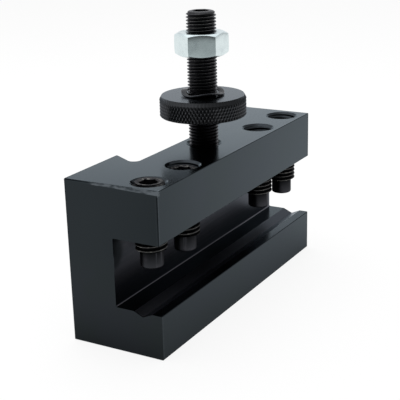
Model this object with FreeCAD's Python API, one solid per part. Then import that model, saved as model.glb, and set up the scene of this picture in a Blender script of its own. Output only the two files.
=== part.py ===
# Quick change tool holder: a steel block with a tool slot in front and a dovetail
# socket behind, four clamp screws down through its upper arm, and a height stud with
# a knurled wheel, a wave washer and a lock nut. Millimetres.
# X runs along the block, Y from the tool slot to the dovetail, Z up.
# The origin is the middle of the block's underside.
import FreeCAD, Part
import math
import os

# Block
block_length = 152.4
block_width = 46.9
jaw_height = 20.5
slot_height = 31.7
arm_height = 23.6
edge_break = 0.25
filed_edge_front = 1.7
filed_edge_back = 0.6

# Tool slot and the groove in its floor that centres round bars
slot_depth = 23.2
slot_corner_radius = 0.6
slot_mouth_break = 0.25
groove_setback = 9.45
groove_width = 9.5
groove_depth = 2.1

# Dovetail socket in the back
horn_width = 40.4
dovetail_angle = 60.0
dovetail_depth = 15.1
dovetail_corner_radius = 3.3
horn_tip_cut = 0.5

# A plain cylinder of the outer diameter stands for each thread
thread_clearance = 0.05
screw_thread_diameter = 14.0
stud_thread_diameter = 14.0

# Clamp screws: how far each one's tip stands below the upper arm, from the near end
screw_reaches = [13.8, 15.7, 17.5, 18.1]
screw_socket_turns = [30.0, 20.0, 45.0, 5.0]
screw_length = 37.7
screw_end_distance = 10.9
screw_spacing = 28.1
screw_setback = 10.7
screw_hole_countersink = 1.1
screw_top_chamfer = 1.0
dog_diameter = 10.2
dog_length = 6.5
dog_tip_chamfer = 0.8
screw_socket_width = 7.0
screw_socket_depth = 7.0

# Height stud
stud_length = 80.0
stud_seat_depth = 17.4
stud_setback = 20.9
stud_hole_countersink = 1.6
stud_end_chamfer = 2.1
stud_socket_width = 6.0
stud_socket_depth = 7.0
stud_socket_turn = 30.0

# Knurled wheel
wheel_diameter = 41.1
wheel_thickness = 9.7
wheel_height = 13.8
wheel_top_chamfer_height = 1.8
wheel_top_chamfer_width = 0.95
wheel_bottom_chamfer = 0.5
knurl_teeth = 76
knurl_depth = 0.55
knurl_rows = 5

# Wave washer
washer_outer_diameter = 20.5
washer_inner_diameter = 15.0
washer_thickness = 0.9
washer_wave_height = 1.6
washer_waves = 3
washer_crest_turn = -135.0
washer_seat_gap = 0.1

# Lock nut
nut_width = 22.0
nut_thickness = 10.6
nut_height = 42.3
nut_turn = -149.8
nut_face_share = 0.95
nut_chamfer_angle = 30.0
nut_bore_break = 0.5

# How far a cutting tool runs past the face that it cuts
overrun = 2.0

# Worked out from the sizes above
slot_floor = jaw_height
slot_roof = jaw_height + slot_height
deck = slot_roof + arm_height
front = -block_width / 2
back = block_width / 2
screw_y = front + screw_setback
stud_y = front + stud_setback
outer_screw_x = block_length / 2 - screw_end_distance
inner_screw_x = outer_screw_x - screw_spacing
screw_xs = [-outer_screw_x, -inner_screw_x, inner_screw_x, outer_screw_x]
screw_radius = screw_thread_diameter / 2
stud_radius = stud_thread_diameter / 2
stud_bore_radius = stud_radius + thread_clearance

vector = FreeCAD.Vector
up = vector(0, 0, 1)


def polygon_face(points):
    """A flat face inside straight edges through the points."""
    return Part.Face(Part.makePolygon(points + points[:1]))


def turned(profile):
    """A solid of revolution about Z, from (radius, height) points off the axis."""
    low, high = profile[0][1], profile[-1][1]
    points = [(0, low)] + profile + [(0, high)]
    face = polygon_face([vector(r, 0, z) for r, z in points])
    return face.revolve(vector(0, 0, 0), up, 360)


def hexagon(width_across_flats, height, flat_turn=0.0):
    """A hexagonal prism up from z 0, with one flat facing flat_turn degrees from +X."""
    corner = width_across_flats / math.sqrt(3)
    angles = [math.radians(flat_turn + 30 + 60 * k) for k in range(6)]
    points = [vector(corner * math.cos(a), corner * math.sin(a), 0) for a in angles]
    return polygon_face(points).extrude(up * height)


def hex_socket(top, width, depth, turn):
    """The space of a hex socket that opens upwards at z top."""
    prism = hexagon(width, depth + overrun, turn)
    prism.translate(up * (top - depth))
    return prism


def threaded_hole(x, y, radius, countersink, bottom):
    """The space of a hole down from the deck to z bottom, countersunk at 45 degrees."""
    hole = turned([
        (radius, bottom),
        (radius, deck - countersink),
        (radius + countersink, deck),
        (radius + countersink, deck + overrun),
    ])
    hole.translate(vector(x, y, 0))
    return hole


def blank_block():
    """The sawn and milled block, with its twelve edges broken."""
    block = Part.makeBox(block_length, block_width, deck, vector(-block_length / 2, front, 0))
    return block.makeChamfer(edge_break, block.Edges)


def slot_section():
    """The tool slot seen from the end: square, open in front, with the groove below."""
    wall = front + slot_depth
    r = slot_corner_radius
    outside = front - overrun
    flare = slot_mouth_break + overrun
    groove_middle = front + groove_setback
    half = groove_width / 2
    return wire_face([
        (outside, slot_floor - flare),
        (front + slot_mouth_break, slot_floor),
        (groove_middle - half, slot_floor),
        (groove_middle, slot_floor - groove_depth),
        (groove_middle + half, slot_floor),
        (wall - r, slot_floor),
        ("arc", rounded_corner(wall - r, slot_floor + r, r, -45)),
        (wall, slot_floor + r),
        (wall, slot_roof - r),
        ("arc", rounded_corner(wall - r, slot_roof - r, r, 45)),
        (wall - r, slot_roof),
        (front + slot_mouth_break, slot_roof),
        (outside, slot_roof + flare),
    ], lambda a, b: vector(-block_length / 2 - overrun, a, b))


def rounded_corner(a, b, radius, degrees):
    """The point of an arc about (a, b) that lies degrees round from the first axis."""
    turn = math.radians(degrees)
    return (a + radius * math.cos(turn), b + radius * math.sin(turn))


def wire_face(points, place):
    """A flat face from (a, b) points, where ("arc", middle) bows the edge between two."""
    edges = []
    start, middle = points[0], None
    for point in points[1:] + points[:1]:
        if point[0] == "arc":
            middle = point[1]
            continue
        if middle is None:
            edges.append(Part.LineSegment(place(*start), place(*point)).toShape())
        else:
            edges.append(Part.Arc(place(*start), place(*middle), place(*point)).toShape())
        start, middle = point, None
    return Part.Face(Part.Wire(edges))


def dovetail_section():
    """The dovetail socket seen from above, wider inside than at its mouth."""
    slope = math.radians(dovetail_angle)
    r = dovetail_corner_radius
    mouth = block_length / 2 - horn_width
    apex = mouth + dovetail_depth / math.tan(slope)
    tangent = r / math.tan(slope / 2)
    tip = mouth + horn_tip_cut
    side = [
        (tip, -overrun),
        (tip, horn_tip_cut * math.tan(slope)),
        (apex - tangent * math.cos(slope), dovetail_depth - tangent * math.sin(slope)),
        ("arc", rounded_corner(apex - tangent, dovetail_depth - r, r, dovetail_angle / 2)),
        (apex - tangent, dovetail_depth),
    ]
    other = []
    for point in reversed(side):
        if point[0] == "arc":
            other.append(("arc", (-point[1][0], point[1][1])))
        else:
            other.append((-point[0], point[1]))
    return wire_face(side + other, lambda a, b: vector(a, back - b, -overrun))


def make_holder_body():
    body = blank_block()
    body = body.cut(slot_section().extrude(vector(block_length + 2 * overrun, 0, 0)))
    body = body.cut(dovetail_section().extrude(up * (deck + 2 * overrun)))
    for x in screw_xs:
        body = body.cut(threaded_hole(
            x, screw_y, screw_radius + thread_clearance,
            screw_hole_countersink, slot_roof - overrun,
        ))
    body = body.cut(threaded_hole(
        0, stud_y, stud_bore_radius, stud_hole_countersink, deck - stud_seat_depth,
    ))
    return body.cut(filed_strip())


def filed_strip():
    """The corner that is filed by hand off the near end of the deck, deeper in front."""
    end = -block_length / 2
    ends = []
    for y, filed in ((front - overrun, filed_edge_front), (back + overrun, filed_edge_back)):
        ends.append([
            vector(end - overrun, y, deck - filed - overrun),
            vector(end + filed + overrun, y, deck + overrun),
            vector(end - overrun, y, deck + overrun),
        ])
    near, far = ends
    faces = [polygon_face(near), polygon_face(far)]
    for k in range(3):
        n = (k + 1) % 3
        faces.append(polygon_face([near[k], near[n], far[n], far[k]]))
    return Part.Solid(Part.Shell(faces))


def make_clamp_screw(x, reach, socket_turn):
    """A set screw with a full dog point, standing at its own depth in the arm."""
    dog = dog_diameter / 2
    shoulder = dog_length + screw_radius - dog
    screw = turned([
        (dog - dog_tip_chamfer, 0),
        (dog, dog_tip_chamfer),
        (dog, dog_length),
        (screw_radius, shoulder),
        (screw_radius, screw_length - screw_top_chamfer),
        (screw_radius - screw_top_chamfer, screw_length),
    ])
    screw = screw.cut(hex_socket(
        screw_length, screw_socket_width, screw_socket_depth, socket_turn,
    ))
    screw.translate(vector(x, screw_y, slot_roof - reach))
    return screw


def make_height_stud():
    """A fully threaded set screw that seats on the bottom of its hole in the deck."""
    stud = turned([
        (stud_radius - stud_end_chamfer, 0),
        (stud_radius, stud_end_chamfer),
        (stud_radius, stud_length - stud_end_chamfer),
        (stud_radius - stud_end_chamfer, stud_length),
    ])
    stud = stud.cut(hex_socket(
        stud_length, stud_socket_width, stud_socket_depth, stud_socket_turn,
    ))
    stud.translate(vector(0, stud_y, deck - stud_seat_depth))
    return stud


def knurl_rings():
    """Rings of points up the wheel: a plain one at each face, crossed teeth between."""
    steps = 2 * knurl_teeth
    radius = wheel_diameter / 2
    low = wheel_bottom_chamfer
    high = wheel_thickness - wheel_top_chamfer_height

    def ring(z, radii):
        turns = [2 * math.pi * k / steps for k in range(steps)]
        return [
            vector(r * math.cos(a), r * math.sin(a), z)
            for a, r in zip(turns, radii)
        ]

    rings = [ring(0, [radius - wheel_bottom_chamfer] * steps)]
    for row in range(knurl_rows + 1):
        z = low + (high - low) * row / knurl_rows
        radii = [radius - knurl_depth * ((k + row) % 2) for k in range(steps)]
        rings.append(ring(z, radii))
    rings.append(ring(wheel_thickness, [radius - wheel_top_chamfer_width] * steps))
    return rings


def make_knurled_wheel():
    """The height wheel: its rim is a diamond knurl of crossed straight grooves."""
    rings = knurl_rings()
    steps = len(rings[0])
    faces = [polygon_face(rings[0]), polygon_face(rings[-1])]
    for level in range(len(rings) - 1):
        below, above = rings[level], rings[level + 1]
        for k in range(steps):
            n = (k + 1) % steps
            a, b, c, d = below[k], below[n], above[n], above[k]
            # each cell folds along the groove that joins its two low corners
            if (k + level) % 2 == 0:
                faces += [polygon_face([a, b, c]), polygon_face([a, c, d])]
            else:
                faces += [polygon_face([a, b, d]), polygon_face([b, c, d])]
    wheel = Part.Solid(Part.Shell(faces))
    wheel = wheel.cut(Part.makeCylinder(stud_bore_radius, wheel_thickness))
    wheel.translate(vector(0, stud_y, deck + wheel_height))
    return wheel


def wave_curve(radius, base):
    """A closed curve round the stud at one radius, which rises and falls in waves."""
    points = []
    count = 12 * washer_waves
    for k in range(count):
        turn = 2 * math.pi * k / count
        wave = 0.5 + 0.5 * math.cos(washer_waves * (turn - math.radians(washer_crest_turn)))
        z = base + washer_wave_height * wave
        points.append(vector(radius * math.cos(turn), radius * math.sin(turn), z))
    curve = Part.BSplineCurve()
    curve.interpolate(Points=points, PeriodicFlag=True)
    return curve.toShape()


def make_wave_washer():
    """A thin spring ring, bent into waves, that lies on the wheel."""
    inner, outer = washer_inner_diameter / 2, washer_outer_diameter / 2
    edges = [
        wave_curve(inner, 0),
        wave_curve(outer, 0),
        wave_curve(outer, washer_thickness),
        wave_curve(inner, washer_thickness),
    ]
    walls = [Part.makeRuledSurface(edges[k], edges[(k + 1) % 4]) for k in range(4)]
    shell = Part.makeShell(walls)
    shell.sewShape()
    washer = Part.makeSolid(shell)
    washer.fix(1e-5, 1e-5, 1e-5)
    seat = deck + wheel_height + wheel_thickness + washer_seat_gap
    washer.translate(vector(0, stud_y, seat))
    return washer


def make_lock_nut():
    """A hexagon nut, chamfered on both faces, with both ends of its bore broken."""
    face_radius = nut_width / 2 * nut_face_share
    corner = nut_width / math.sqrt(3) + overrun
    slope = (corner - face_radius) * math.tan(math.radians(nut_chamfer_angle))
    envelope = turned([
        (face_radius, 0),
        (corner, slope),
        (corner, nut_thickness - slope),
        (face_radius, nut_thickness),
    ])
    nut = hexagon(nut_width, nut_thickness, nut_turn).common(envelope)
    nut = nut.cut(turned([
        (stud_bore_radius + nut_bore_break + overrun, -overrun),
        (stud_bore_radius, nut_bore_break),
        (stud_bore_radius, nut_thickness - nut_bore_break),
        (stud_bore_radius + nut_bore_break + overrun, nut_thickness + overrun),
    ]))
    nut.translate(vector(0, stud_y, deck + nut_height))
    return nut


def build():
    pieces = {
        "holder_body": make_holder_body(),
        "height_stud": make_height_stud(),
        "knurled_wheel": make_knurled_wheel(),
        "wave_washer": make_wave_washer(),
        "lock_nut": make_lock_nut(),
    }
    for number, (x, reach, turn) in enumerate(zip(screw_xs, screw_reaches, screw_socket_turns), 1):
        pieces["clamp_screw_%d" % number] = make_clamp_screw(x, reach, turn)
    return pieces


os.makedirs("parts", exist_ok=True)
for name, shape in build().items():
    shape.exportStep("parts/%s.step" % name)
    box = shape.BoundBox
    print("%-16s %-6s valid %s  solids %d  faces %4d  volume %10.1f  z %.2f to %.2f" % (
        name, shape.ShapeType, shape.isValid(), len(shape.Solids), len(shape.Faces),
        shape.Volume, box.ZMin, box.ZMax,
    ))
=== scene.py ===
import math
import bpy
import bmesh
from mathutils import Matrix, Vector


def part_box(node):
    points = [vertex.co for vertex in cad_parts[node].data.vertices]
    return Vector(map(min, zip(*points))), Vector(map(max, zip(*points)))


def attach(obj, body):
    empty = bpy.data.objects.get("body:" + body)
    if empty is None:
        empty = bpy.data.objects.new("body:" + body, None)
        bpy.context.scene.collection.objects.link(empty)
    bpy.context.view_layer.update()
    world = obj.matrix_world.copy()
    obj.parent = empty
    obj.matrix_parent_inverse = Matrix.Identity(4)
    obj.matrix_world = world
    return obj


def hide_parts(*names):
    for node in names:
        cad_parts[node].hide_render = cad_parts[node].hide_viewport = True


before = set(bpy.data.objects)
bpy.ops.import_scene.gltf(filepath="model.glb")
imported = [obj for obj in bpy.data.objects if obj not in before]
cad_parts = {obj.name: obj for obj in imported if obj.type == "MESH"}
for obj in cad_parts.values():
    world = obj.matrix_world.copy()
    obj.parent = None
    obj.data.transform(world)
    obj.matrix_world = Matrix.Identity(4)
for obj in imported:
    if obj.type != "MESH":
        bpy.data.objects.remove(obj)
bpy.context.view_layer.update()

mm = 0.001


def toLinear(hexColour):
    channels = [int(hexColour[i:i + 2], 16) / 255 for i in (1, 3, 5)]
    return [c / 12.92 if c <= 0.04045 else ((c + 0.055) / 1.055) ** 2.4 for c in channels] + [1.0]


def addNode(tree, kind, inputs=(), **settings):
    # kind is short for the node's type, and inputs go in order or by name:
    # each is a value, a socket, or a node, which stands for its first output
    node = tree.nodes.new("ShaderNode" + kind)
    for key, value in settings.items():
        setattr(node, key, value)
    for key, value in inputs.items() if isinstance(inputs, dict) else enumerate(inputs):
        if isinstance(value, bpy.types.Node):
            value = value.outputs[0]
        if isinstance(value, bpy.types.NodeSocket):
            tree.links.new(value, node.inputs[key])
        else:
            node.inputs[key].default_value = value
    return node


def newMaterial(name):
    material = bpy.data.materials.new(name)
    material.use_nodes = True
    tree = material.node_tree
    tree.nodes.clear()
    return material, tree, addNode(tree, "TexCoord").outputs["Object"]


def allOf(tree, *masks):
    # 1 only where every mask is 1
    both = masks[0]
    for mask in masks[1:]:
        both = addNode(tree, "Math", [both, mask], operation="MULTIPLY")
    return both


def between(tree, value, low, high):
    # 1 where a value is within two limits
    over = addNode(tree, "Math", [value, low], operation="GREATER_THAN")
    return allOf(tree, over, addNode(tree, "Math", [value, high], operation="LESS_THAN"))


def distanceFrom(tree, value, place):
    # how far a value is from a place, to either side
    offset = addNode(tree, "Math", [value, place], operation="SUBTRACT")
    return addNode(tree, "Math", [offset], operation="ABSOLUTE")


def layColours(tree, colour, layers):
    # lays colours on the first one, each where its own mask is 1
    for mask, tone in layers:
        pair = [toLinear(each) if isinstance(each, str) else each for each in (colour, tone)]
        inputs = {"Factor": mask, 6: pair[0], 7: pair[1]}
        colour = addNode(tree, "Mix", inputs, data_type="RGBA").outputs[2]
    return colour


def stretchedNoise(tree, place, grain, detail=3.0):
    # grain is the size of one speck in millimetres along x, y and z
    scale = [1 / (size * mm) for size in grain]
    spread = addNode(tree, "Mapping", {"Vector": place, "Scale": scale})
    return addNode(tree, "TexNoise", {"Vector": spread, "Scale": 1.0, "Detail": detail})


def unevenRoughness(tree, unevenness, finish):
    # roughness that wanders about its middle value, led by a noise from 0 to 1
    spread = finish["roughnessSpread"]
    inputs = [unevenness, spread, finish["roughness"] - spread / 2]
    return addNode(tree, "Math", inputs, operation="MULTIPLY_ADD")


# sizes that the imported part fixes

def nodePlace(name):
    low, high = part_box(name)
    return Vector(((low.x + high.x) / 2, (low.y + high.y) / 2, low.z)), high.z - low.z


blockLow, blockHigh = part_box("holder_body")
studFoot, studLength = nodePlace("height_stud")
wheelLow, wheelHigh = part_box("knurled_wheel")
wheelFoot, _ = nodePlace("knurled_wheel")
screwNames = [f"clamp_screw_{number}" for number in range(1, 5)]
block = {   # mm, above and behind the front's foot
    "jawHeight": 20.5,
    "slotRoof": 52.2,
    "slotDepth": 23.2,
    "belowGroove": 17.5,
    "inset": 0.3,          # keeps a mask clear of the faces beside it
    "skin": 0.05,          # and of the face it ends at
}


def inMetres(sizes):
    return [size * mm for size in sizes]


# camera

camera = {
    "target": (-0.37, 0.22, 46.64),    # mm, the middle of the picture at the stud's depth
    "azimuth": -60.0,
    "elevation": 18.2,
    "roll": -1.49,
    "distance": 482.7,                 # mm
    "lens": 89.04,
    "sensor": 36.0,
    "clipStart": 0.01,                 # m
}


def addCamera():
    data = bpy.data.cameras.new("camera")
    data.lens = camera["lens"]
    data.sensor_width = camera["sensor"]
    data.clip_start = camera["clipStart"]
    item = bpy.data.objects.new("camera", data)
    bpy.context.collection.objects.link(item)
    azimuth, elevation = math.radians(camera["azimuth"]), math.radians(camera["elevation"])
    away = Vector((
        math.sin(azimuth) * math.cos(elevation),
        -math.cos(azimuth) * math.cos(elevation),
        math.sin(elevation),
    ))
    turn = away.to_track_quat("Z", "Y").to_matrix().to_4x4()
    roll = Matrix.Rotation(math.radians(camera["roll"]), 4, "Z")
    place = Vector(camera["target"]) * mm + away * camera["distance"] * mm
    item.matrix_world = Matrix.Translation(place) @ turn @ roll
    bpy.context.scene.camera = item


addCamera()
print("camera placed")

# materials

blackenedSteel = {   # lengths in mm
    "colour": "#2F3436",               # black oxide over ground steel, kept dark by oil
    "cloudColour": "#303438",
    "cloudLevels": (0.38, 0.62),
    "endColour": "#2D3235",            # handled more, so darker, at the arm's two ends
    "endReach": 35.0,
    "holeColour": "#3E4246",           # thin oxide in the tapped holes
    "holeRadii": (7.2, 8.6),           # just outside the bore and just outside its mouth
    "threadPitch": 2.0,                # in the clamp screws' holes
    "threadDepth": 0.7,
    "edgeTint": (0.885, 0.95, 1.0, 1.0),
    "roughness": 0.19,
    "roughnessSpread": 0.08,
    "cloudRoughness": 0.06,
    "milledRoughness": 0.3,            # the slot is milled and left as cut
    "grindLine": (26.0, 0.22, 0.22),
    "cloud": (30.0, 18.0, 18.0),
    "scratchDepth": 0.004,
    "dentGrain": (1.8, 1.8, 1.8),
    "dentWidth": 1.3,                  # how far the dents reach from an edge
    "dentDepth": 0.12,
    "dentFade": (2.0, 3.0),            # from the near end, past which the dents grow faint
    "dentShare": 0.12,
    "edge": "#14171A",                 # painted shade on the broken edges, and on the line the file missed
    "edgeWidth": 0.8,
    "edgeShare": 0.75,
    "edgeHeights": (42.0, 66.0),       # between these the painted shade on the edges comes in
    "frontTop": 2.0,                   # round the front's top edge, which stays light
    "farShare": 0.8,                   # of the painted shade along the far edge of the front
    "farWidth": (1.0, 2.0),
    "farDrop": (2.2, 3.6),             # below the deck
    "filed": "#575C60",                # bare again where the near top edge is filed
    "filedWidth": 2.2,
    "filedReach": 1.05,                # how far the file went down the end
    "filedSpread": 0.8,                # and how much that varies
    "filedFade": 0.12,
    "caughtFade": 0.15,
    "filedStop": 0.31,                 # share of the end, at the back, that the file missed
    "filedBlend": 2.5,
    "fileMark": (1.2, 4.0, 0.8),
    "fileLevels": (0.36, 0.6),
    "fileShares": (0.1, 0.95),
    "unfiledWidth": 0.55,              # of the painted shade line where the file missed
    "slot": "#3E3F45",                 # as milled, with paler cutter marks
    "slotStreak": "#48474D",
    "cutterLine": (26.0, 0.9, 0.9),
    "cutterLevels": (0.36, 0.66),
    "slotShade": "#1C1C20",              # painted shade, deepening towards the near end
    "nearEndReach": 60.0,
    "slotShadeShare": 0.7,
    "slotCornerShade": "#060608",            # painted shade in its upper corner at the near end
    "cornerShadeDrop": 7.0,                  # below the slot's roof
    "cornerShadeReach": (5.0, 9.0),
    "slotFootHighlight": "#77757C",             # painted highlight along the wall's foot, where the fillet meets the floor
    "footHighlightHeights": (0.2, 0.8),
    "footHighlightDepth": 0.5,
    "groove": "#3A3B41",
    # painted sheen, lighter towards the groove's near end
    "grooveEndSheen": "#6E7079",
}


def lengthOf(tree, *parts):
    # the length of a vector from two or three numbers
    vector = addNode(tree, "CombineXYZ", parts)
    return addNode(tree, "VectorMath", [vector], operation="LENGTH").outputs["Value"]


def edgeDistance(tree, axes):
    # of the three gaps to the block's faces, the middle one is small only along an edge
    gaps = []
    for axis in range(3):
        middle = (blockLow[axis] + blockHigh[axis]) / 2
        half = (blockHigh[axis] - blockLow[axis]) / 2
        offset = distanceFrom(tree, axes[axis], middle)
        gaps.append(addNode(tree, "Math", [half, offset], operation="SUBTRACT"))
    nearest = addNode(tree, "Math", [gaps[0], gaps[1]], operation="MINIMUM")
    further = addNode(tree, "Math", [gaps[0], gaps[1]], operation="MAXIMUM")
    return addNode(tree, "Math", [
        nearest, addNode(tree, "Math", [further, gaps[2]], operation="MINIMUM"),
    ], operation="MAXIMUM")


def milledFaces(tree, axes):
    # 1 on the slot's wall, its roof and the groove's sides; the slot's floor is ground like the outside
    inset, skin = block["inset"] * mm, block["skin"] * mm
    jawTop, roof, depth, groove = inMetres((
        block["jawHeight"], block["slotRoof"], block["slotDepth"], block["belowGroove"],
    ))
    lows = (blockLow.x + inset, blockLow.y + inset, groove)
    highs = (blockHigh.x - inset, blockLow.y + depth + inset, roof + inset)
    offFloor = distanceFrom(tree, axes[2], jawTop)
    offFloor = addNode(tree, "Math", [offFloor, skin], operation="GREATER_THAN")
    return allOf(tree, offFloor, *(between(tree, *each) for each in zip(axes, lows, highs)))


def filedEdge(tree, axes, place):
    # 1 on the strip filed off the near top edge, broken up by the file's uneven marks; and a second mask, 1
    # on a painted shade line where the file missed
    steel = blackenedSteel
    skin, fade, spread = inMetres((block["skin"], steel["filedFade"], steel["filedSpread"]))
    inward = addNode(tree, "Math", [axes[0], blockLow.x], operation="SUBTRACT")
    down = addNode(tree, "Math", [blockHigh.z, axes[2]], operation="SUBTRACT")
    narrow = addNode(tree, "Math", [inward, down], operation="MINIMUM")
    wide = addNode(tree, "Math", [inward, down], operation="MAXIMUM")
    onStrip = addNode(tree, "Math", [wide, steel["filedWidth"] * mm], operation="LESS_THAN")
    strip = addNode(tree, "MapRange", {"Value": narrow, "From Max": fade}, interpolation_type="SMOOTHSTEP")
    strip = allOf(tree, strip, onStrip)
    marks = stretchedNoise(tree, place, steel["fileMark"], 4.0)
    # the file also caught the end face below the strip, except near the back corner
    reach = addNode(tree, "Math", [
        marks, spread, steel["filedReach"] * mm - spread / 2,
    ], operation="MULTIPLY_ADD")
    onEnd = addNode(tree, "Math", [inward, skin], operation="LESS_THAN")
    caught = addNode(tree, "MapRange", {
        "Value": addNode(tree, "Math", [reach, down], operation="SUBTRACT"),
        "From Max": steel["caughtFade"] * mm,
    }, interpolation_type="SMOOTHSTEP")
    strip = addNode(tree, "Math", [strip, allOf(tree, caught, onEnd)], operation="MAXIMUM")
    start = blockHigh.y - steel["filedStop"] * (blockHigh.y - blockLow.y)
    # where From Min is above From Max, as here, the fade falls as its value grows
    along = addNode(tree, "MapRange", {
        "Value": axes[1], "From Min": start + steel["filedBlend"] * mm, "From Max": start,
    }, interpolation_type="SMOOTHSTEP")
    low, high = steel["fileLevels"]
    least, most = steel["fileShares"]
    bright = addNode(tree, "MapRange", {
        "Value": marks, "From Min": low, "From Max": high, "To Min": least, "To Max": most,
    }, interpolation_type="SMOOTHSTEP")
    # the painted shade line runs where the file missed, close to the edge
    missed = addNode(tree, "Math", [1.0, along], operation="SUBTRACT")
    inside = addNode(tree, "MapRange", {
        "Value": narrow, "From Min": skin, "From Max": fade,
    }, interpolation_type="SMOOTHSTEP")
    close = addNode(tree, "Math", [wide, steel["unfiledWidth"] * mm], operation="LESS_THAN")
    return allOf(tree, strip, bright, along), allOf(tree, missed, inside, close)


def edgeShade(tree, axes, edgeGap):
    # 1 on the sharp edges that are given painted shade: all but the one along the top of the front
    steel = blackenedSteel
    near = addNode(tree, "MapRange", {
        "Value": edgeGap, "From Min": steel["edgeWidth"] * mm, "From Max": 0.0,
    }, interpolation_type="SMOOTHSTEP")
    down = addNode(tree, "Math", [blockHigh.z, axes[2]], operation="SUBTRACT")
    inward = addNode(tree, "Math", [axes[1], blockLow.y], operation="SUBTRACT")
    nearTop = addNode(tree, "Math", [down, steel["frontTop"] * mm], operation="LESS_THAN")
    nearFront = addNode(tree, "Math", [inward, steel["frontTop"] * mm], operation="LESS_THAN")
    elsewhere = addNode(tree, "Math", [1.0, allOf(tree, nearTop, nearFront)], operation="SUBTRACT")
    low, high = inMetres(steel["edgeHeights"])
    risen = addNode(tree, "MapRange", {
        "Value": axes[2], "From Min": low, "From Max": high,
    }, interpolation_type="SMOOTHSTEP")
    near = allOf(tree, near, elsewhere, risen)
    onFront = addNode(tree, "Math", [inward, block["skin"] * mm], operation="LESS_THAN")
    fromFar = addNode(tree, "Math", [blockHigh.x, axes[0]], operation="SUBTRACT")
    low, high = inMetres(steel["farDrop"])
    corner = addNode(tree, "MapRange", {
        "Value": down, "From Min": low, "From Max": high, "To Min": 1.0, "To Max": steel["farShare"],
    }, interpolation_type="SMOOTHSTEP")
    low, high = inMetres(steel["farWidth"])
    farStrip = addNode(tree, "MapRange", {
        "Value": fromFar, "From Min": high, "From Max": low,
    }, interpolation_type="SMOOTHSTEP")
    return addNode(tree, "Math", [near, allOf(tree, farStrip, corner, onFront)], operation="MAXIMUM")


def holeThreads(tree, axes, pitch):
    # a ridge that winds up the walls of the four screw holes, folded into one by symmetry
    outer, inner = (nodePlace(screwNames[k])[0] for k in (3, 2))
    middle, reach = (outer.x + inner.x) / 2, (outer.x - inner.x) / 2
    folded = distanceFrom(tree, distanceFrom(tree, axes[0], 0.0), middle)
    u = addNode(tree, "Math", [folded, reach], operation="SUBTRACT")
    v = addNode(tree, "Math", [axes[1], outer.y], operation="SUBTRACT")
    radius = lengthOf(tree, u, v)
    roof, skin = inMetres((block["slotRoof"] + block["inset"], block["skin"]))
    inArm = between(tree, axes[2], roof, blockHigh.z - skin)
    bore, mouth = inMetres(blackenedSteel["holeRadii"])
    wall = allOf(tree, inArm, addNode(tree, "Math", [radius, bore], operation="LESS_THAN"))
    hole = allOf(tree, inArm, addNode(tree, "Math", [radius, mouth], operation="LESS_THAN"))
    turn = addNode(tree, "Math", [
        addNode(tree, "Math", [v, u], operation="ARCTAN2"), 2 * math.pi,
    ], operation="DIVIDE")
    climb = addNode(tree, "Math", [
        addNode(tree, "Math", [axes[2], pitch], operation="DIVIDE"), turn,
    ], operation="SUBTRACT")
    ridge = addNode(tree, "Math", [climb, 0.5], operation="PINGPONG")
    return hole, wall, addNode(tree, "Math", [ridge, 2.0], operation="MULTIPLY")


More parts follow.
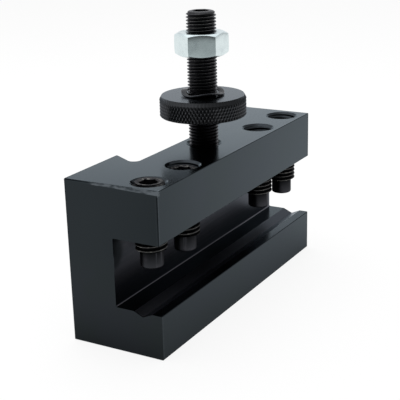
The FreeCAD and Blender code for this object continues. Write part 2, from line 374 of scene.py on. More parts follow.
def blackenedGroundSteel():
    # ground flat, then black oxide: a dark mirror with faint lines along the block
    steel = blackenedSteel
    material, tree, place = newMaterial("blackened_ground_steel")
    axes = addNode(tree, "SeparateXYZ", {"Vector": place}).outputs
    lines = stretchedNoise(tree, place, steel["grindLine"], 4.0)
    cloud = stretchedNoise(tree, place, steel["cloud"], 2.0)
    edgeGap = edgeDistance(tree, axes)
    dents = stretchedNoise(tree, place, steel["dentGrain"], 4.0)

    shade = addNode(tree, "Math", [
        edgeShade(tree, axes, edgeGap), steel["edgeShare"],
    ], operation="MULTIPLY")
    low, high = steel["cloudLevels"]
    tint = addNode(tree, "MapRange", {
        "Value": cloud, "From Min": low, "From Max": high,
    }, interpolation_type="SMOOTHSTEP")
    fromMiddle = distanceFrom(tree, axes[0], 0.0)
    fromEnd = addNode(tree, "Math", [blockHigh.x, fromMiddle], operation="SUBTRACT")
    ends = addNode(tree, "MapRange", {
        "Value": fromEnd, "From Min": steel["endReach"] * mm, "From Max": 0.0,
    }, interpolation_type="SMOOTHSTEP")
    jawTop, roof = inMetres((block["jawHeight"], block["slotRoof"]))
    risen = addNode(tree, "MapRange", {
        "Value": axes[2], "From Min": jawTop, "From Max": roof,
    }, interpolation_type="SMOOTHSTEP")
    ends = allOf(tree, ends, risen)
    slot = milledFaces(tree, axes)
    cutter = stretchedNoise(tree, place, steel["cutterLine"], 4.0)
    low, high = steel["cutterLevels"]
    cutter = addNode(tree, "MapRange", {
        "Value": cutter, "From Min": low, "From Max": high,
    }, interpolation_type="SMOOTHSTEP")
    nearEnd = addNode(tree, "MapRange", {
        "Value": axes[0], "From Min": blockLow.x + steel["nearEndReach"] * mm, "From Max": blockLow.x,
    }, interpolation_type="SMOOTHSTEP")
    wallPlace = blockLow.y + block["slotDepth"] * mm
    # painted shade round a point high in the slot's corner at the near end
    corner = addNode(tree, "VectorMath", [
        place, (blockLow.x, wallPlace, roof - steel["cornerShadeDrop"] * mm),
    ], operation="DISTANCE").outputs["Value"]
    # painted shade on the slot towards its near end
    shadedShare = addNode(tree, "Math", [nearEnd, steel["slotShadeShare"]], operation="MULTIPLY")
    low, high = inMetres(steel["cornerShadeReach"])
    cornerShade = addNode(tree, "MapRange", {
        "Value": corner, "From Min": high, "From Max": low,
    }, interpolation_type="SMOOTHSTEP")
    # painted highlight along the foot of the slot's wall
    low, high = inMetres(steel["footHighlightHeights"])
    foot = addNode(tree, "MapRange", {
        "Value": axes[2], "From Min": jawTop + high, "From Max": jawTop + low,
    }, interpolation_type="SMOOTHSTEP")
    onWall = addNode(tree, "Math", [axes[1], wallPlace - steel["footHighlightDepth"] * mm], operation="GREATER_THAN")
    foot = allOf(tree, foot, onWall)
    inGroove = addNode(tree, "Math", [axes[2], jawTop - 2 * block["skin"] * mm], operation="LESS_THAN")
    # the groove, with a painted sheen towards its near end
    grooveColour = layColours(tree, steel["groove"], [(nearEnd, steel["grooveEndSheen"])])
    milledColour = layColours(tree, steel["slot"], [
        (cutter, steel["slotStreak"]), (shadedShare, steel["slotShade"]), (cornerShade, steel["slotCornerShade"]),
        (foot, steel["slotFootHighlight"]), (inGroove, grooveColour),
    ])
    hole, wall, ridge = holeThreads(tree, axes, steel["threadPitch"] * mm)
    filed, dark = filedEdge(tree, axes, place)
    # the block's colours, with painted shade on the edges and on the line the file missed
    colour = layColours(tree, steel["colour"], [
        (tint, steel["cloudColour"]), (ends, steel["endColour"]), (shade, steel["edge"]),
        (slot, milledColour), (hole, steel["holeColour"]), (filed, steel["filed"]), (dark, steel["edge"]),
    ])

    milled = addNode(tree, "Math", [slot, wall], operation="MAXIMUM")
    spread, clouding = steel["roughnessSpread"], steel["cloudRoughness"]
    ground = addNode(tree, "Math", [
        lines, spread, steel["roughness"] - (spread + clouding) / 2,
    ], operation="MULTIPLY_ADD")
    ground = addNode(tree, "Math", [cloud, clouding, ground], operation="MULTIPLY_ADD")
    rougher = addNode(tree, "Math", [
        milled, steel["milledRoughness"] - steel["roughness"],
    ], operation="MULTIPLY")
    rough = addNode(tree, "Math", [ground, rougher], operation="ADD")

    bump = addNode(tree, "Bump", {"Height": lines, "Distance": steel["scratchDepth"] * mm, "Strength": 1.0})
    nearEdge = addNode(tree, "MapRange", {
        "Value": edgeGap, "From Min": steel["dentWidth"] * mm, "From Max": 0.0,
    }, interpolation_type="SMOOTHSTEP")
    low, high = inMetres(steel["dentFade"])
    filedEnd = addNode(tree, "MapRange", {
        "Value": axes[0], "From Min": blockLow.x + low, "From Max": blockLow.x + high, "To Min": 1.0,
        "To Max": steel["dentShare"],
    }, interpolation_type="SMOOTHSTEP")
    nearEdge = allOf(tree, nearEdge, filedEnd)
    bump = addNode(tree, "Bump", {
        "Height": addNode(tree, "Math", [dents, nearEdge], operation="MULTIPLY"),
        "Distance": steel["dentDepth"] * mm, "Strength": 1.0, "Normal": bump,
    })
    bump = addNode(tree, "Bump", {
        "Height": ridge, "Distance": steel["threadDepth"] * mm, "Strength": wall, "Normal": bump,
    })
    shader = addNode(tree, "BsdfPrincipled", {
        "Base Color": colour, "Metallic": 1.0, "Roughness": rough, "Normal": bump,
        "Specular Tint": steel["edgeTint"],
    })
    addNode(tree, "OutputMaterial", {"Surface": shader})
    return material


turnedSteel = {   # lengths in mm
    "colour": "#353638",
    "rubbed": "#5C5D60",     # the knurl's tips, where the oxide is rubbed thin
    "rubbedDepth": 0.35,     # below the tips
    "edgeTint": (0.9, 0.95, 1.0, 1.0),
    "roughness": 0.24,
    "roughnessSpread": 0.1,
    "toolMark": 0.25,        # between the turning tool's rings
    "markDepth": 0.003,
    "facetWear": 0.36,       # how far the knurl's facets are rounded towards the rim
    "chamferWear": 0.85,
    "chamferColour": "#424345",
    "chamferHeight": 2.3,    # the part of the rim that looks plain
    "chamferRise": 1.8,
    "chamferWidth": 0.95,
    "chamferBlend": 0.15,
    "lowerChamfer": 0.6,
    "teeth": 76,             # of the knurl, whose grooves run out into the chamfer
    "toothRun": 0.5,
    "skin": 0.02,            # keeps the worn rim clear of the two flat faces
}


def wornKnurl(tree, place, radius, flat, normal):
    # the knurl's facets turned part of the way to the plain rim, and nearly all of it on the chamfer
    steel = turnedSteel
    height = addNode(tree, "SeparateXYZ", {"Vector": place}).outputs[2]
    rim = (wheelHigh.x - wheelLow.x) / 2
    lean = math.atan2(steel["chamferWidth"], steel["chamferRise"])
    outward = addNode(tree, "VectorTransform", {
        "Vector": flat,
    }, vector_type="NORMAL", convert_from="OBJECT", convert_to="WORLD")
    outward = addNode(tree, "VectorMath", [outward], operation="NORMALIZE")
    sides = addNode(tree, "SeparateXYZ", {"Vector": flat}).outputs
    bearing = addNode(tree, "Math", [
        addNode(tree, "Math", [sides[1], sides[0]], operation="ARCTAN2"), steel["teeth"] / (2 * math.pi),
    ], operation="MULTIPLY")
    tip = addNode(tree, "Math", [bearing, 0.5], operation="PINGPONG")
    run, plainHeight = steel["toothRun"] * mm, wheelHigh.z - steel["chamferHeight"] * mm
    # tip goes from 0 to 0.5, so the chamfer starts up to one run above or below the plain height
    chamferStart = addNode(tree, "Math", [tip, -4 * run, plainHeight + run], operation="MULTIPLY_ADD")
    blend, skin = steel["chamferBlend"] * mm, steel["skin"] * mm
    onChamfer = addNode(tree, "MapRange", {
        "Value": addNode(tree, "Math", [height, chamferStart], operation="SUBTRACT"),
        "From Min": -blend, "From Max": blend,
    }, interpolation_type="SMOOTHSTEP")
    rise = addNode(tree, "Math", [onChamfer, math.tan(lean)], operation="MULTIPLY")
    upward = addNode(tree, "CombineXYZ", {2: rise})
    plain = addNode(tree, "VectorMath", [outward, upward], operation="ADD")
    plain = addNode(tree, "VectorMath", [plain], operation="NORMALIZE")
    share = addNode(tree, "MapRange", {
        "Value": onChamfer, "From Max": 1.0, "To Min": steel["facetWear"], "To Max": steel["chamferWear"],
    }, interpolation_type="SMOOTHSTEP")
    onRim = addNode(tree, "Math", [
        radius, rim - steel["chamferWidth"] * mm + skin,
    ], operation="GREATER_THAN")
    onSide = between(tree, height, wheelLow.z + steel["lowerChamfer"] * mm, wheelHigh.z - skin)
    share = allOf(tree, share, onRim, onSide)
    mixed = addNode(tree, "Mix", {"Factor": share, 4: normal, 5: plain}, data_type="VECTOR").outputs[1]
    return mixed, allOf(tree, onChamfer, onRim)


def blackenedTurnedSteel():
    # faced on a lathe, then black oxide: fine rings round the axis
    steel = turnedSteel
    material, tree, place = newMaterial("blackened_turned_steel")
    centred = addNode(tree, "VectorMath", [place, wheelFoot], operation="SUBTRACT")
    flat = addNode(tree, "VectorMath", [centred, (1, 1, 0)], operation="MULTIPLY")
    radius = addNode(tree, "VectorMath", [flat], operation="LENGTH").outputs["Value"]
    rings = addNode(tree, "TexNoise", {
        "W": addNode(tree, "Math", [radius, steel["toolMark"] * mm], operation="DIVIDE"),
        "Scale": 1.0, "Detail": 2.0,
    }, noise_dimensions="1D")
    rough = unevenRoughness(tree, rings, steel)
    bump = addNode(tree, "Bump", {"Height": rings, "Distance": steel["markDepth"] * mm, "Strength": 1.0})
    rim = (wheelHigh.x - wheelLow.x) / 2
    tip = addNode(tree, "MapRange", {
        "Value": radius, "From Min": rim - steel["rubbedDepth"] * mm, "From Max": rim,
    }, interpolation_type="SMOOTHSTEP")
    bump, chamfer = wornKnurl(tree, place, radius, flat, bump)
    colour = layColours(tree, steel["colour"], [(tip, steel["rubbed"]), (chamfer, steel["chamferColour"])])
    shader = addNode(tree, "BsdfPrincipled", {
        "Base Color": colour, "Metallic": 1.0, "Roughness": rough, "Normal": bump,
        "Specular Tint": steel["edgeTint"],
    })
    addNode(tree, "OutputMaterial", {"Surface": shader})
    return material


wearAndShadeLayers = ("crest", "rubbed", "flankShade")   # three shares from 0 to 1, kept on the corners: two of wear, and painted shade between the crests
screwSteel = {   # lengths in mm
    "name": "oil_blackened_screw_steel",
    "colour": "#3C3D41",
    "mottle": "#4A494E",
    "rubbed": "#48474A",     # where the key and the tapped hole have rubbed the oxide thin
    "bare": "#8A8985",       # and where they have rubbed it through
    "flankShade": "#141516",      # painted shade between the crests
    "crestBare": 0.38,
    # painted shade towards the foot
    "footShade": "#2B2D2F",
    "footShadeHeights": (0.0, 1.0),
    "edgeTint": (0.6, 0.6, 0.61, 1.0),
    "roughness": 0.38,
    "roughnessSpread": 0.16,
    "rubbedRoughness": 0.55,
    "grain": (2.0, 2.0, 2.0),
    "grainLevels": (0.5, 0.75),
    "bareGrain": (1.3, 1.3, 1.3),
    "bareLevels": (0.48, 0.62),
}
studSteel = {   # lengths in mm
    "name": "blackened_rolled_thread_steel",
    "colour": "#3F3F42",
    "mottle": "#4A4A4D",
    "rubbed": "#5C5C5E",
    "bare": "#8C8B8A",
    # painted shade between the crests
    "flankShade": "#232326",
    "crestBare": 0.5,
    "footShade": "#202023",            # painted shade that deepens towards the foot, under the nut and the wheel
    "footShadeHeights": (88.0, 138.0),
    "edgeTint": (0.9, 0.9, 0.92, 1.0),
    "roughness": 0.34,
    "roughnessSpread": 0.16,
    "rubbedRoughness": 0.4,
    "grain": (2.5, 2.5, 2.5),
    "grainLevels": (0.5, 0.75),
    "bareGrain": (1.3, 1.3, 1.3),
    "bareLevels": (0.48, 0.62),
}


def blackThreadedSteel(steel):
    # hardened screw, oil blackened: a little rougher than the ground block
    material, tree, place = newMaterial(steel["name"])
    grain = stretchedNoise(tree, place, steel["grain"], 5.0)
    low, high = steel["grainLevels"]
    patch = addNode(tree, "MapRange", {
        "Value": grain, "From Min": low, "From Max": high,
    }, interpolation_type="SMOOTHSTEP")
    wearAndShade = (addNode(tree, "Attribute", attribute_name=name).outputs["Fac"] for name in wearAndShadeLayers)
    crest, rubbed, flankShade = wearAndShade
    through = stretchedNoise(tree, place, steel["bareGrain"])
    low, high = steel["bareLevels"]
    through = addNode(tree, "MapRange", {
        "Value": through, "From Min": low, "From Max": high,
    }, interpolation_type="SMOOTHSTEP")
    through = addNode(tree, "Math", [
        through, addNode(tree, "Math", [crest, steel["crestBare"]], operation="MULTIPLY"),
    ], operation="MAXIMUM")
    worn = layColours(tree, steel["rubbed"], [(through, steel["bare"])])
    height = addNode(tree, "SeparateXYZ", {"Vector": place}).outputs[2]
    foot, head = inMetres(steel["footShadeHeights"])
    # painted shade towards the foot
    shadedShare = addNode(tree, "MapRange", {
        "Value": height, "From Min": head, "From Max": foot,
    }, interpolation_type="SMOOTHSTEP")
    # the oxide and its wear, with painted shade between the crests and towards the foot
    colour = layColours(tree, steel["colour"], [
        (patch, steel["mottle"]), (flankShade, steel["flankShade"]), (rubbed, worn), (shadedShare, steel["footShade"]),
    ])
    rough = unevenRoughness(tree, grain, steel)
    rougher = addNode(tree, "Math", [
        rubbed, steel["rubbedRoughness"] - steel["roughness"],
    ], operation="MULTIPLY")
    rough = addNode(tree, "Math", [rough, rougher], operation="ADD")
    shader = addNode(tree, "BsdfPrincipled", {
        "Base Color": colour, "Metallic": 1.0, "Roughness": rough, "Specular Tint": steel["edgeTint"],
    })
    addNode(tree, "OutputMaterial", {"Surface": shader})
    return material


springSteel = {   # lengths in mm
    "colour": "#27292D",
    "edge": "#55565A",       # painted highlight along the outer edge
    "edgeWidths": (0.3, 0.05),
    "roughness": 0.28,
    "roughnessSpread": 0.12,
    "grain": (0.8, 0.8, 0.8),
}


def blackSpringSteel():
    # tempered strip: darkest and smoothest of the black parts
    steel = springSteel
    material, tree, place = newMaterial("tempered_spring_steel")
    grain = stretchedNoise(tree, place, steel["grain"])
    rough = unevenRoughness(tree, grain, steel)
    low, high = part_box("wave_washer")
    centred = addNode(tree, "VectorMath", [place, wheelFoot], operation="SUBTRACT")
    axes = addNode(tree, "SeparateXYZ", {"Vector": centred}).outputs
    rim = (high.x - low.x) / 2
    start, stop = inMetres(steel["edgeWidths"])
    atEdge = addNode(tree, "MapRange", {
        "Value": lengthOf(tree, axes[0], axes[1]), "From Min": rim - start, "From Max": rim - stop,
    }, interpolation_type="SMOOTHSTEP")
    # a painted highlight round the outer edge
    colour = layColours(tree, steel["colour"], [(atEdge, steel["edge"])])
    shader = addNode(tree, "BsdfPrincipled", {"Base Color": colour, "Metallic": 1.0, "Roughness": rough})
    addNode(tree, "OutputMaterial", {"Surface": shader})
    return material


zincPlate = {   # lengths in mm
    "colour": "#E7F3F4",           # bright zinc, passivated blue
    "dull": "#DBE7E9",
    "roughness": 0.26,
    "roughnessSpread": 0.14,
    "drawLine": (0.5, 0.5, 6.0),   # drawn bar leaves lines along the nut
    "bloom": (4.0, 4.0, 4.0),
    "bloomLevels": (0.4, 0.7),
    "bloomShare": 0.6,             # of the unevenness
    "depth": 0.005,
}


def brightZincPlate():
    # hexagon bar, zinc plated: bright, with a cloudy bloom and lines along the axis
    zinc = zincPlate
    material, tree, place = newMaterial("bright_zinc_plate")
    lines = stretchedNoise(tree, place, zinc["drawLine"], 3.0)
    bloom = stretchedNoise(tree, place, zinc["bloom"], 4.0)
    low, high = zinc["bloomLevels"]
    cloudy = addNode(tree, "MapRange", {
        "Value": bloom, "From Min": low, "From Max": high,
    }, interpolation_type="SMOOTHSTEP")
    colour = layColours(tree, zinc["colour"], [(cloudy, zinc["dull"])])
    rough = unevenRoughness(tree, bloom, zinc)
    both = addNode(tree, "Math", [bloom, zinc["bloomShare"], lines], operation="MULTIPLY_ADD")
    bump = addNode(tree, "Bump", {"Height": both, "Distance": zinc["depth"] * mm, "Strength": 1.0})
    shader = addNode(tree, "BsdfPrincipled", {
        "Base Color": colour, "Metallic": 1.0, "Roughness": rough, "Normal": bump,
    })
    addNode(tree, "OutputMaterial", {"Surface": shader})
    return material


blockFinish = blackenedGroundSteel()
wheelFinish = blackenedTurnedSteel()
screwFinish = blackThreadedSteel(screwSteel)
studFinish = blackThreadedSteel(studSteel)
springFinish = blackSpringSteel()
nutFinish = brightZincPlate()
print("materials made")

# meshes

weldGap, sliverGap = 1e-6, 1e-7   # m, corners closer than this are one, and shorter edges go


def meshPiece(name, bm, finish, body, node, sharp=35.0):
    bmesh.ops.remove_doubles(bm, verts=bm.verts, dist=weldGap)
    bmesh.ops.dissolve_degenerate(bm, edges=bm.edges, dist=sliverGap)
    bmesh.ops.recalc_face_normals(bm, faces=bm.faces)
    mesh = bpy.data.meshes.new(name)
    bm.to_mesh(mesh)
    bm.free()
    mesh.polygons.foreach_set("use_smooth", [True] * len(mesh.polygons))
    mesh.set_sharp_from_angle(angle=math.radians(sharp))
    mesh.materials.append(finish)
    item = bpy.data.objects.new(name, mesh)
    bpy.context.collection.objects.link(item)
    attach(item, body)
    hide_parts(node)
    return item


def around(centre, radius, turn, height):
    return centre + Vector((radius * math.cos(turn), radius * math.sin(turn), height))


def joinRings(bm, rings):
    # quads between each ring of corners and the next one
    for lower, upper in zip(rings, rings[1:]):
        count = len(lower)
        for k in range(count):
            n = (k + 1) % count
            bm.faces.new((lower[k], lower[n], upper[n], upper[k]))


def hexRadius(turn, widthAcross, flatTurn, rounding=0.0):
    # distance from the axis to a hexagon's side, its corners rounded off by a little
    within = (turn - flatTurn + math.pi / 6) % (math.pi / 3) - math.pi / 6
    side = widthAcross / 2 / math.cos(within)
    corner = widthAcross / 2 / math.cos(math.pi / 6)
    return min(side, corner - rounding * mm)


thread = {
    # an external metric thread: share of the pitch, and depth as a share of the full depth
    "shape": [
        (0.0, 0.0), (0.125, 0.0), (0.28, 0.5), (0.4375, 0.94), (0.5625, 1.0), (0.6875, 0.94), (0.845, 0.5),
    ],
    "depthShare": 0.6134,    # of the pitch
    "wearAndShadeDepth": 0.35,       # mm below the crest, where the wear has faded out and the painted shade is full
    "endWearAndShade": 0.2,          # mm, as if so much deeper where an end is rounded off, for the wear and the painted shade
}


def threadRadius(share, radius, pitch):
    share %= 1.0
    ends = thread["shape"] + [(1.0, 0.0)]
    for (a, da), (b, db) in zip(ends, ends[1:]):
        if share <= b:
            depth = da + (db - da) * (share - a) / (b - a)
            return radius - depth * thread["depthShare"] * pitch
    return radius


def threadedWall(bm, centre, bar, low, high, limit):
    # a helical grid between two heights; limit(height) is the most that the radius may be
    crest, rubbed, flankShade = (bm.verts.layers.float[name] for name in wearAndShadeLayers)
    steps, pitch, start = bar["steps"], bar["pitch"] * mm, bar["threadStart"]
    radius, wearAndShadeDepth, endWearAndShade = inMetres((bar["diameter"] / 2, thread["wearAndShadeDepth"], thread["endWearAndShade"]))
    turns = range(math.floor(low / pitch) - 2, math.ceil(high / pitch) + 1)
    columns = []
    for j in range(steps + 1):
        column = []
        for t in turns:
            for share, _ in thread["shape"]:
                height = min(max(pitch * (t + share + j / steps + start), low), high)
                r = threadRadius(height / pitch - j / steps - start, radius, pitch)
                r = min(r, limit(height))
                corner = bm.verts.new(around(centre, r, 2 * math.pi * j / steps, height))
                worn = min(radius, limit(height)) if height > (low + high) / 2 else radius
                depth = (worn - r + min(radius - worn, endWearAndShade)) / wearAndShadeDepth
                corner[crest] = corner[rubbed] = bar["crestWear"] * max(0.0, 1 - depth)
                # painted shade that deepens from the crest into the root
                corner[flankShade] = min(1.0, depth)
                column.append(corner)
        columns.append(column)
    for left, right in zip(columns, columns[1:]):
        for k in range(len(left) - 1):
            bm.faces.new((left[k], right[k], right[k + 1], left[k + 1]))
    ends = []
    for k in (0, -1):
        ends.append([column[k] for column in columns[:-1]])
    return ends


def ringOf(bm, centre, steps, radiusAt, height):
    turns = [2 * math.pi * k / steps for k in range(steps)]
    return [bm.verts.new(around(centre, radiusAt(turn), turn, height)) for turn in turns]


def closeRing(bm, ring, centre, height):
    middle = bm.verts.new(centre + Vector((0, 0, height)))
    for k in range(len(ring)):
        bm.faces.new((ring[k], ring[(k + 1) % len(ring)], middle))


def socketRings(bm, centre, bar, top):
    # the flat top face, the cone at the mouth of the hex socket, its walls and its floor
    steps, mouth, lip = bar["steps"], bar["mouthWidth"] / 2 * mm, bar["socketLip"] * mm
    flatTurn = math.radians(bar["socketTurn"])
    floor = top - bar["socketDepth"] * mm
    slope = math.tan(math.radians(bar["mouthAngle"]))

    def hexagon(turn):
        return hexRadius(turn, bar["socketWidth"] * mm, flatTurn)

    cone = ringOf(bm, centre, steps, hexagon, top)
    for corner in cone:
        reach = (corner.co - centre).to_2d().length
        corner.co.z -= (mouth - reach) * slope
    below = [bm.verts.new(corner.co - Vector((0, 0, lip))) for corner in cone]
    return [
        ringOf(bm, centre, steps, lambda turn: mouth, top), cone, below,
        ringOf(bm, centre, steps, hexagon, floor),
    ], floor


def wearAndShadeRings(bm, rings, shares, bare=0.0, paintedShade=0.0):
    crest, rubbed, flankShade = (bm.verts.layers.float[name] for name in wearAndShadeLayers)
    for ring, share in zip(rings, shares):
        for corner in ring:
            corner[crest], corner[rubbed], corner[flankShade] = bare, share, paintedShade


def newThreaded():
    bm = bmesh.new()
    for name in wearAndShadeLayers:
        bm.verts.layers.float.new(name)
    return bm


stud = {   # mm and degrees
    "diameter": 14.0,
    "pitch": 1.5,
    "steps": 72,
    "threadStart": 0.0,
    "endRounding": 2.1,
    "mouthWidth": 8.3,
    "mouthAngle": 20.0,
    "socketLip": 0.1,
    "socketWidth": 7.0,
    "socketDepth": 7.0,
    "socketTurn": 30.0,
    "crestWear": 0.75,
    "ringWear": (0.6, 0.35),   # of the last thread and of the ring round the socket
}


def buildStud():
    bm = newThreaded()
    radius, rounding = stud["diameter"] / 2 * mm, stud["endRounding"] * mm
    length = studLength

    def limit(height):
        share = max(1 - min(height, length - height) / rounding, 0)
        return radius - rounding * (1 - math.sqrt(1 - share * share))

    foot, head = threadedWall(bm, studFoot, stud, 0, length, limit)
    closeRing(bm, foot, studFoot, 0)
    rings, floor = socketRings(bm, studFoot, stud, length)
    wearAndShadeRings(bm, [head] + rings, stud["ringWear"])
    # painted shade inside the socket
    wearAndShadeRings(bm, rings[1:], (0.0, 0.0, 0.0), paintedShade=1.0)
    joinRings(bm, [head] + rings)
    closeRing(bm, rings[-1], studFoot, floor)
    return meshPiece("height_stud_threaded", bm, studFinish, "holder", "height_stud")


clampScrew = {   # mm and degrees, and lists with a value for each screw
    "diameter": 14.0,
    "pitch": 2.0,
    "steps": 72,
    "threadStarts": [-0.35, -0.1, 0.3, 0.3],   # of a turn
    "topChamfer": 1.0,
    "dogDiameter": 10.2,
    "dogLength": 7.3,        # up to the thread, which ends square on the worn shoulder
    "shoulderSlope": 8.0,
    "tipRounding": 0.8,
    "tipSteps": 5,
    "mouthWidth": 9.3,
    "mouthAngle": 30.0,
    "socketLip": 0.1,
    "socketWidth": 7.6,
    "socketDepth": 7.0,
    "socketTurns": [25.0, 20.0, 45.0, 5.0],
    "crestWear": 1.0,
    "headWear": 0.5,
    "ringWear": [1.0, 1.0, 3.2, 0.1],          # of the upper face, where above 1 it is rubbed bare
}


def buildClampScrew(number):
    name = screwNames[number]
    foot, length = nodePlace(name)
    bar = dict(clampScrew, socketTurn=clampScrew["socketTurns"][number])
    bar["threadStart"] = clampScrew["threadStarts"][number]
    steps, radius = bar["steps"], bar["diameter"] / 2 * mm
    dog, dogTop = bar["dogDiameter"] / 2 * mm, bar["dogLength"] * mm
    rounding, chamfer = bar["tipRounding"] * mm, bar["topChamfer"] * mm
    bm = newThreaded()

    def limit(height):
        shoulder = dog + (height - dogTop) * bar["shoulderSlope"]
        return min(shoulder, radius, radius - chamfer + (length - height))

    lower, upper = threadedWall(bm, foot, bar, dogTop, length, limit)
    wearAndShadeRings(bm, [lower], (0.0,))
    rings = []
    for step in range(bar["tipSteps"] + 1):
        lean = math.pi / 2 * step / bar["tipSteps"]
        r = dog - rounding * (1 - math.sin(lean))
        rings.append(ringOf(bm, foot, steps, lambda turn, r=r: r, rounding * (1 - math.cos(lean))))
    closeRing(bm, rings[0], foot, 0)
    joinRings(bm, rings + [lower])
    socket, floor = socketRings(bm, foot, bar, length)
    ring = bar["ringWear"][number]
    shares = (bar["headWear"], min(ring, 1.0), min(ring, 1.0))
    wearAndShadeRings(bm, [upper] + socket, shares, bare=max(ring - 1.0, 0.0))
    joinRings(bm, [upper] + socket)
    closeRing(bm, socket[-1], foot, floor)
    return meshPiece(f"{name}_threaded", bm, screwFinish, f"screw_{number + 1}", name)


washer = {   # mm and degrees
    "inner": 15.0,
    "outer": 20.5,
    "thickness": 0.9,
    "wave": 1.3,
    "waves": 3,
    "crestTurn": -135.0,
    "edge": 0.18,
    "steps": 180,
    "sharpAngle": 50.0,
}


def buildWasher():
    foot, _ = nodePlace("wave_washer")
    bm = bmesh.new()
    inner, outer = washer["inner"] / 2 * mm, washer["outer"] / 2 * mm
    thick, edge = washer["thickness"] * mm, washer["edge"] * mm
    section = [
        (inner + edge, 0), (outer - edge, 0), (outer, edge), (outer, thick - edge),
        (outer - edge, thick), (inner + edge, thick), (inner, thick - edge), (inner, edge),
    ]
    rings = []
    for k in range(washer["steps"]):
        turn = 2 * math.pi * k / washer["steps"]
        wave = 0.5 + 0.5 * math.cos(washer["waves"] * (turn - math.radians(washer["crestTurn"])))
        lift = washer["wave"] * mm * wave
        rings.append([bm.verts.new(around(foot, r, turn, z + lift)) for r, z in section])
    joinRings(bm, rings + rings[:1])
    return meshPiece(
        "wave_washer_ring", bm, springFinish, "washer", "wave_washer",
        washer["sharpAngle"],
    )


nut = {   # mm and degrees
    "width": 22.0,
    "turn": -149.8,
    "faceShare": 0.95,
    "chamferAngle": 25.0,
    "bore": 14.1,
    "boreBreak": 0.6,
    "cornerRounding": 0.06,
    "rolled": [   # how far down, and how much is off the side there
        (0.0, 0.2), (0.5, 0.128), (1.2, 0.06), (2.2, 0.014), (3.4, 0.0),
    ],
    "steps": 360,
    "sharpAngle": 22.0,
}


def buildNut():
    foot, thickness = nodePlace("lock_nut")
    centre = Vector((studFoot.x, studFoot.y, foot.z))
    bm = bmesh.new()
    steps, flatTurn = nut["steps"], math.radians(nut["turn"])
    width, face = nut["width"] * mm, nut["width"] / 2 * nut["faceShare"] * mm
    slope = math.tan(math.radians(nut["chamferAngle"]))
    bore, rim = nut["bore"] / 2 * mm, (nut["bore"] / 2 + nut["boreBreak"]) * mm
    turns = [2 * math.pi * k / steps for k in range(steps)]
    sides = [hexRadius(turn, width, flatTurn, nut["cornerRounding"]) for turn in turns]

    def ring(radii, heights):
        return [bm.verts.new(around(centre, r, turn, z)) for r, turn, z in zip(radii, turns, heights)]

    def rolledRings(sign, start):
        made = []
        for down, off in nut["rolled"]:
            radii = [side - off * mm for side in sides]
            heights = [start + sign * ((side - face) * slope + down * mm) for side in sides]
            made.append(ring(radii, heights))
        return made

    flat = [0.0] * steps
    top = [thickness] * steps
    broken = nut["boreBreak"] * mm
    rings = [
        ring([bore] * steps, [broken] * steps),
        ring([rim] * steps, flat),
        ring([face] * steps, flat),
        *rolledRings(1, 0.0),
        *reversed(rolledRings(-1, thickness)),
        ring([face] * steps, top),
        ring([rim] * steps, top),
        ring([bore] * steps, [thickness - broken] * steps),
    ]
    joinRings(bm, rings + rings[:1])
    return meshPiece("lock_nut_hexagon", bm, nutFinish, "nut", "lock_nut", nut["sharpAngle"])


buildStud()
for number in range(len(screwNames)):
    buildClampScrew(number)
buildWasher()
buildNut()
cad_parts["holder_body"].material_slots[0].material = blockFinish
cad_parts["knurled_wheel"].material_slots[0].material = wheelFinish
print("threads, washer and nut built")

# studio

studio = {
    "floorReach": 3.0,               # m from the middle to each side
    "floorGap": 0.05,                # mm below the block
    "cardWhite": (0.86, 0.86, 0.86, 1),
    "cardGlow": 0.86,
    "floorShare": 0.9,
    "contactShare": 0.42,            # the floor's glow right beside the block, a painted shadow seen in reflections
    "contactReach": 0.04,            # m
    "darkReach": (0.02, 0.2),        # m from the block, where the camera's side grows dark
    "darkTurn": (0.5, 0.93),
    "openSide": 0.34,
    "openTint": (0.84, 0.98, 1.0, 1.0),
    "skyForShade": 0.75,
    "sky": (0.96, 0.98, 1.0, 1.0),   # the cool light of the backdrop, in reflections only
    "frontShare": 0.4,               # in front of the block the room is darker than behind it
    "frontSide": -90.0,              # degrees round from +X
    "frontTurn": (-0.1, 0.45),
    "lowShare": 0.92,                # the backdrop near the floor
    "bandShare": 0.62,               # the darker band between the backdrop and the overhead tent
    "bandHeights": (0.23, 0.33),
    "tentShare": 1.12,
    "tentHeights": (0.4, 0.75),
    "cameraSide": -150.0,            # degrees round from +X, where the room is darker
    "cameraTurn": (0.15, 0.6),
    "cameraShares": (0.12, 0.95),    # its light low down, and high up where the tent's roof hangs
    "cameraHeights": (0.3, 0.65),
    "lampPlace": (0.1, 0.2, 0.9),    # m
    "lampAim": (0.0, 0.0, 0.05),     # m
    "lampSize": 0.9,                 # m
    "lampPower": 6.0,                # W
}


def turnedTowards(tree, direction, degrees):
    # 1 where a direction points that way round, 0 at right angles to it, -1 opposite
    turn = math.radians(degrees)
    return addNode(tree, "VectorMath", [
        direction, (math.cos(turn), math.sin(turn), 0),
    ], operation="DOT_PRODUCT").outputs["Value"]


def seenRays(tree):
    # the rays that see a surface straight or through glass, and those that see it in a reflection
    path = addNode(tree, "LightPath").outputs
    straight = [path["Is Camera Ray"], path["Is Transmission Ray"]]
    return addNode(tree, "Math", straight, operation="MAXIMUM"), path["Is Glossy Ray"]


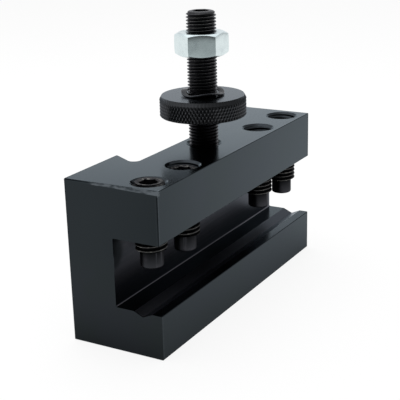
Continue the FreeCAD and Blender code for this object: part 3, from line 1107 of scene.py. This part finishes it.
def tentLight(tree, direction):
    # what polished steel shows of the tent: backdrop, darker band, overhead cloth, darker front
    height = addNode(tree, "SeparateXYZ", {"Vector": direction}).outputs[2]
    backdrop, band, tent = studio["lowShare"], studio["bandShare"], studio["tentShare"]
    low, high = studio["bandHeights"]
    lower = addNode(tree, "MapRange", {
        "Value": height, "From Min": low, "From Max": high, "To Min": backdrop, "To Max": band,
    }, interpolation_type="SMOOTHSTEP")
    low, high = studio["tentHeights"]
    upper = addNode(tree, "MapRange", {
        "Value": height, "From Min": low, "From Max": high, "To Max": tent - band,
    }, interpolation_type="SMOOTHSTEP")
    ahead = turnedTowards(tree, direction, studio["frontSide"])
    low, high = studio["frontTurn"]
    front = addNode(tree, "MapRange", {
        "Value": ahead, "From Min": low, "From Max": high, "To Min": 1.0, "To Max": studio["frontShare"],
    }, interpolation_type="SMOOTHSTEP")
    low, high = studio["cameraHeights"]
    least, most = studio["cameraShares"]
    side = addNode(tree, "MapRange", {
        "Value": height, "From Min": low, "From Max": high, "To Min": least, "To Max": most,
    }, interpolation_type="SMOOTHSTEP")
    ahead = turnedTowards(tree, direction, studio["cameraSide"])
    low, high = studio["cameraTurn"]
    facing = addNode(tree, "MapRange", {
        "Value": ahead, "From Min": low, "From Max": high, "To Min": 1.0, "To Max": side,
    }, interpolation_type="SMOOTHSTEP")
    return allOf(tree, addNode(tree, "Math", [lower, upper], operation="ADD"), front, facing)


def lightWorld():
    world = bpy.data.worlds.new("light_tent")
    bpy.context.scene.world = world
    world.use_nodes = True
    tree = world.node_tree
    tree.nodes.clear()
    direction = addNode(tree, "TexCoord").outputs["Generated"]
    seen, glossy = seenRays(tree)
    shade = studio["skyForShade"]
    more = addNode(tree, "Math", [tentLight(tree, direction), shade], operation="SUBTRACT")
    reflected = addNode(tree, "Math", [glossy, more, shade], operation="MULTIPLY_ADD")
    strength = addNode(tree, "Math", [seen, reflected], operation="MAXIMUM")
    colour = layColours(tree, "#FFFFFF", [(glossy, studio["sky"])])
    background = addNode(tree, "Background", {"Color": colour, "Strength": strength})
    addNode(tree, "OutputWorld", {"Surface": background})


def floorLight(tree, place):
    # what polished steel shows of the floor: a painted shadow beside the block, and darker on the camera's
    # side
    axes = addNode(tree, "SeparateXYZ", {"Vector": place}).outputs
    outside = []
    for axis in range(2):
        offset = distanceFrom(tree, axes[axis], 0.0)
        offset = addNode(tree, "Math", [offset, blockHigh[axis]], operation="SUBTRACT")
        outside.append(addNode(tree, "Math", [offset, 0.0], operation="MAXIMUM"))
    away = lengthOf(tree, *outside)
    fade = addNode(tree, "Math", [
        addNode(tree, "Math", [away, -studio["contactReach"]], operation="DIVIDE"),
    ], operation="EXPONENT")
    clear = addNode(tree, "Math", [fade, studio["contactShare"] - 1, 1.0], operation="MULTIPLY_ADD")
    fromMiddle = addNode(tree, "VectorMath", [place], operation="NORMALIZE")
    ahead = turnedTowards(tree, fromMiddle, studio["cameraSide"])
    low, high = studio["darkTurn"]
    dark = addNode(tree, "MapRange", {
        "Value": ahead, "From Min": low, "From Max": high, "To Max": 1 - studio["openSide"],
    }, interpolation_type="SMOOTHSTEP")
    low, high = studio["darkReach"]
    far = addNode(tree, "MapRange", {
        "Value": away, "From Min": low, "From Max": high,
    }, interpolation_type="SMOOTHSTEP")
    dark = allOf(tree, far, dark)
    lit = addNode(tree, "Math", [1.0, dark], operation="SUBTRACT")
    return allOf(tree, clear, lit, studio["floorShare"]), dark


def paleFloor():
    # white card: its own light keeps it white in the picture, and the rest takes the shadow
    material, tree, place = newMaterial("white_card_floor")
    seen, glossy = seenRays(tree)
    mirrored, dark = floorLight(tree, place)
    glow = addNode(tree, "Math", [seen, allOf(tree, glossy, mirrored)], operation="MAXIMUM")
    colour = layColours(tree, "#FFFFFF", [(allOf(tree, glossy, dark), studio["openTint"])])
    light = addNode(tree, "Emission", {"Color": colour, "Strength": glow})
    card = addNode(tree, "BsdfDiffuse", {"Color": studio["cardWhite"]})
    share = addNode(tree, "Math", [
        addNode(tree, "Math", [seen, glossy], operation="MAXIMUM"), studio["cardGlow"],
    ], operation="MULTIPLY")
    both = addNode(tree, "MixShader", [share, card, light])
    addNode(tree, "OutputMaterial", {"Surface": both})
    size = studio["floorReach"]
    mesh = bpy.data.meshes.new("floor")
    corners = [(-size, -size, 0), (size, -size, 0), (size, size, 0), (-size, size, 0)]
    mesh.from_pydata(corners, [], [(0, 1, 2, 3)])
    mesh.materials.append(material)
    floor = bpy.data.objects.new("floor", mesh)
    floor.location.z = blockLow.z - studio["floorGap"] * mm
    bpy.context.collection.objects.link(floor)


def softLamp():
    data = bpy.data.lights.new("overhead", "AREA")
    data.shape = "DISK"
    data.size = studio["lampSize"]
    data.energy = studio["lampPower"]
    lamp = bpy.data.objects.new("overhead", data)
    lamp.location = studio["lampPlace"]
    aim = Vector(studio["lampAim"]) - lamp.location
    lamp.rotation_euler = aim.to_track_quat("-Z", "Y").to_euler()
    lamp.visible_glossy = False
    bpy.context.collection.objects.link(lamp)


lightWorld()
paleFloor()
softLamp()
bpy.context.scene.view_settings.view_transform = "Standard"
print("studio lit")
